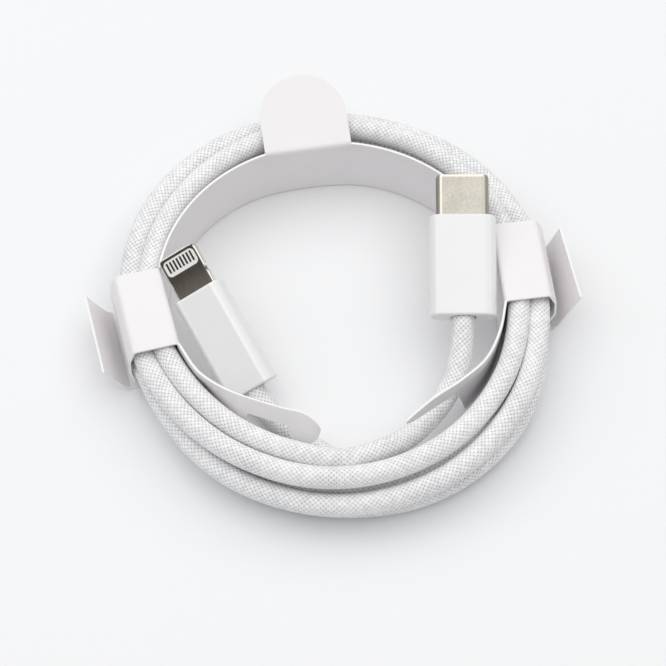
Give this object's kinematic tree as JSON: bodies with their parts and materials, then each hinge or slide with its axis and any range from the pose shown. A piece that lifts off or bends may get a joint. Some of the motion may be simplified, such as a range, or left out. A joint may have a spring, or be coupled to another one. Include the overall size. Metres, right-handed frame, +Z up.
{
  "type": "charging cable",
  "caption": "White braided charging cable coiled flat and held by a folded card loop with side wraps, with a USB-C plug at one end and a slim bladed contact plug at the other",
  "frame": {"origin": "On the surface the coil rests on, under the middle of the card holder and plugs together; the coil itself is centred 8 mm in front of it.", "axes": "+Z is up, away from the surface. +X runs from the side wrap beside the bladed plug to the side wrap beside the USB-C plug. +Y points away from the front of the coil, the way the USB-C plug points in plan."},
  "size_m": [0.0791, 0.0746, 0.0173],
  "materials": {
    "cord_braid": "fine woven polyester sleeve, matt",
    "card": "thin coated white card, satin, brighter at the cut edge",
    "plated_steel": "nickel plated stamped steel",
    "blade_metal": "nickel plated frame, darker on its flats",
    "gold_contacts": "gold plated",
    "dark_contacts": "dark alloy plating",
    "black_insulator": "moulded black plastic",
    "white_insulator": "moulded white plastic",
    "board": "glass fibre laminate with green mask",
    "chip": "moulded package",
    "passives": "fired ceramic with tinned ends",
    "boot": "smooth white moulded plastic",
    "inner_moulding": "soft white plastic",
    "wire_jackets": "coloured insulation"
  },
  "bodies": {
    "cable": {"card_left_under_panel": "card", "card_right_under_panel": "card", "card_strip": "card", "coil": "cord_braid", "tab_plug_back_contacts": "dark_contacts", "tab_plug_blade": "blade_metal", "tab_plug_board_passives": "passives", "tab_plug_boot": "boot", "tab_plug_circuit_board": "board", "tab_plug_control_chip": "chip", "tab_plug_crimp_collar": "plated_steel", "tab_plug_front_contacts": "dark_contacts", "tab_plug_inner_moulding": "inner_moulding", "tab_plug_insulator": "white_insulator", "tab_plug_lead": "cord_braid", "tab_plug_shield_can": "plated_steel", "tab_plug_wires": "wire_jackets", "usb_c_board_passives": "passives", "usb_c_boot": "boot", "usb_c_circuit_board": "board", "usb_c_crimp_collar": "plated_steel", "usb_c_ground_springs": "plated_steel", "usb_c_inner_moulding": "inner_moulding", "usb_c_insulator": "black_insulator", "usb_c_lead": "cord_braid", "usb_c_lower_contacts": "gold_contacts", "usb_c_marker_chip": "chip", "usb_c_mid_plate": "plated_steel", "usb_c_shell": "plated_steel", "usb_c_shield_can": "plated_steel", "usb_c_side_latches": "plated_steel", "usb_c_upper_contacts": "gold_contacts", "usb_c_wires": "wire_jackets"},
    "top_tab": {"card_top_tab": "card"},
    "left_over": {"card_left_over_panel": "card"},
    "left_side": {"card_left_side_panel": "card"},
    "left_flap": {"card_left_flap": "card"},
    "right_over": {"card_right_over_panel": "card"},
    "right_side": {"card_right_side_panel": "card"},
    "right_flap": {"card_right_flap": "card"}
  },
  "joints": [
    {"name": "top_tab_crease", "type": "hinge", "parent": "cable", "child": "top_tab", "pos_m": [-0.00417, 0.01835, 0.01132], "axis": [0.9877, 0.1564, 0], "range_deg": [-13, 95]},
    {"name": "left_over_crease", "type": "hinge", "parent": "cable", "child": "left_over", "pos_m": [-0.02584, -0.01052, 0.01132], "axis": [-0.2419, 0.9703, 0], "range_deg": [0, 80]},
    {"name": "left_side_crease", "type": "hinge", "parent": "left_over", "child": "left_side", "pos_m": [-0.03263, -0.01222, 0.01132], "axis": [-0.2419, 0.9703, 0], "range_deg": [0, 50]},
    {"name": "left_flap_crease", "type": "hinge", "parent": "cable", "child": "left_flap", "pos_m": [-0.03433, -0.01264, 0.00017], "axis": [-0.2419, 0.9703, 0], "range_deg": [-62.5, 0]},
    {"name": "right_over_crease", "type": "hinge", "parent": "cable", "child": "right_over", "pos_m": [0.02584, -0.00282, 0.01132], "axis": [0.134, -0.991, 0], "range_deg": [0, 60]},
    {"name": "right_side_crease", "type": "hinge", "parent": "right_over", "child": "right_side", "pos_m": [0.03278, -0.00188, 0.01132], "axis": [0.134, -0.991, 0], "range_deg": [0, 50]},
    {"name": "right_flap_crease", "type": "hinge", "parent": "cable", "child": "right_flap", "pos_m": [0.03431, -0.00167, 0.00017], "axis": [0.134, -0.991, 0], "range_deg": [-62.5, 0]}
  ],
  "couplings": [
    {"joint": "left_flap_crease", "follows": "left_side_crease", "ratio": -1.25},
    {"joint": "right_flap_crease", "follows": "right_side_crease", "ratio": -1.25}
  ]
}
